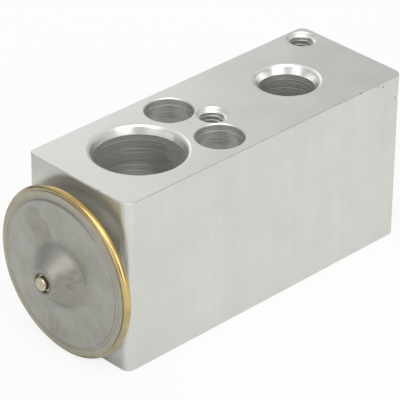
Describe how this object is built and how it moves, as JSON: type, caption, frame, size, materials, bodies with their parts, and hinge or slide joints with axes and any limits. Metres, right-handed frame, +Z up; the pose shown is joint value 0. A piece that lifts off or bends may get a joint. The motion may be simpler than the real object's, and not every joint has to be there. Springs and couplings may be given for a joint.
{
  "type": "block expansion valve",
  "caption": "Refrigerant expansion valve: machined aluminium block with ports on two faces and a round spring-loaded power head on one end.",
  "frame": {"origin": "centre of the valve's bounding box, on the lower port face", "axes": "+X from the power head to the far end, along the common axis of rod, orifice and adjusting screw; +Z up out of the upper port face; +Y completes the frame"},
  "size_m": [0.0868, 0.0362, 0.038],
  "materials": {
    "block_aluminium": "fine satin, machined",
    "casing_steel": "brushed",
    "weld_gold": "heat-tinted weld",
    "plug_steel": "bright",
    "diaphragm_steel": "bright",
    "inner_steel": "turned",
    "rod_aluminium": "turned",
    "spring_steel": "drawn wire",
    "screw_brass": "turned",
    "seal_rubber": "matte"
  },
  "bodies": {
    "valve_body": {"valve_block": "block_aluminium", "head_cover": "casing_steel", "head_base": "casing_steel", "rim_weld": "weld_gold", "charge_plug": "plug_steel", "diaphragm": "diaphragm_steel", "head_seal": "seal_rubber", "rod_seal": "seal_rubber", "seal_retainer": "inner_steel", "superheat_spring": "spring_steel"},
    "valve_train": {"diaphragm_stop": "inner_steel", "sensing_rod": "rod_aluminium", "valve_pin": "inner_steel", "valve_ball": "inner_steel", "ball_carrier": "inner_steel", "damper_spring": "inner_steel"},
    "adjuster_slide": {"adjuster_seal": "seal_rubber"},
    "adjuster": {"adjusting_screw": "screw_brass"}
  },
  "joints": [
    {"name": "valve_lift", "type": "slide", "parent": "valve_body", "child": "valve_train", "axis": [1, 0, 0], "range_m": [0, 0.0007], "stiffness_N_per_m": 1000, "springref_m": -0.0025, "deforming": ["superheat_spring", "diaphragm"]},
    {"name": "adjuster_feed", "type": "slide", "parent": "valve_body", "child": "adjuster_slide", "axis": [-1, 0, 0], "range_m": [-0.001, 0.001], "deforming": ["superheat_spring"]},
    {"name": "adjuster_turn", "type": "hinge", "parent": "adjuster_slide", "child": "adjuster", "pos_m": [0.0364, 0, 0.01825], "axis": [-1, 0, 0], "range_deg": [-360, 360], "deforming": ["superheat_spring"]}
  ],
  "couplings": [
    {"joint": "adjuster_feed", "follows": "adjuster_turn", "m_per_rad": 0.00015915}
  ]
}
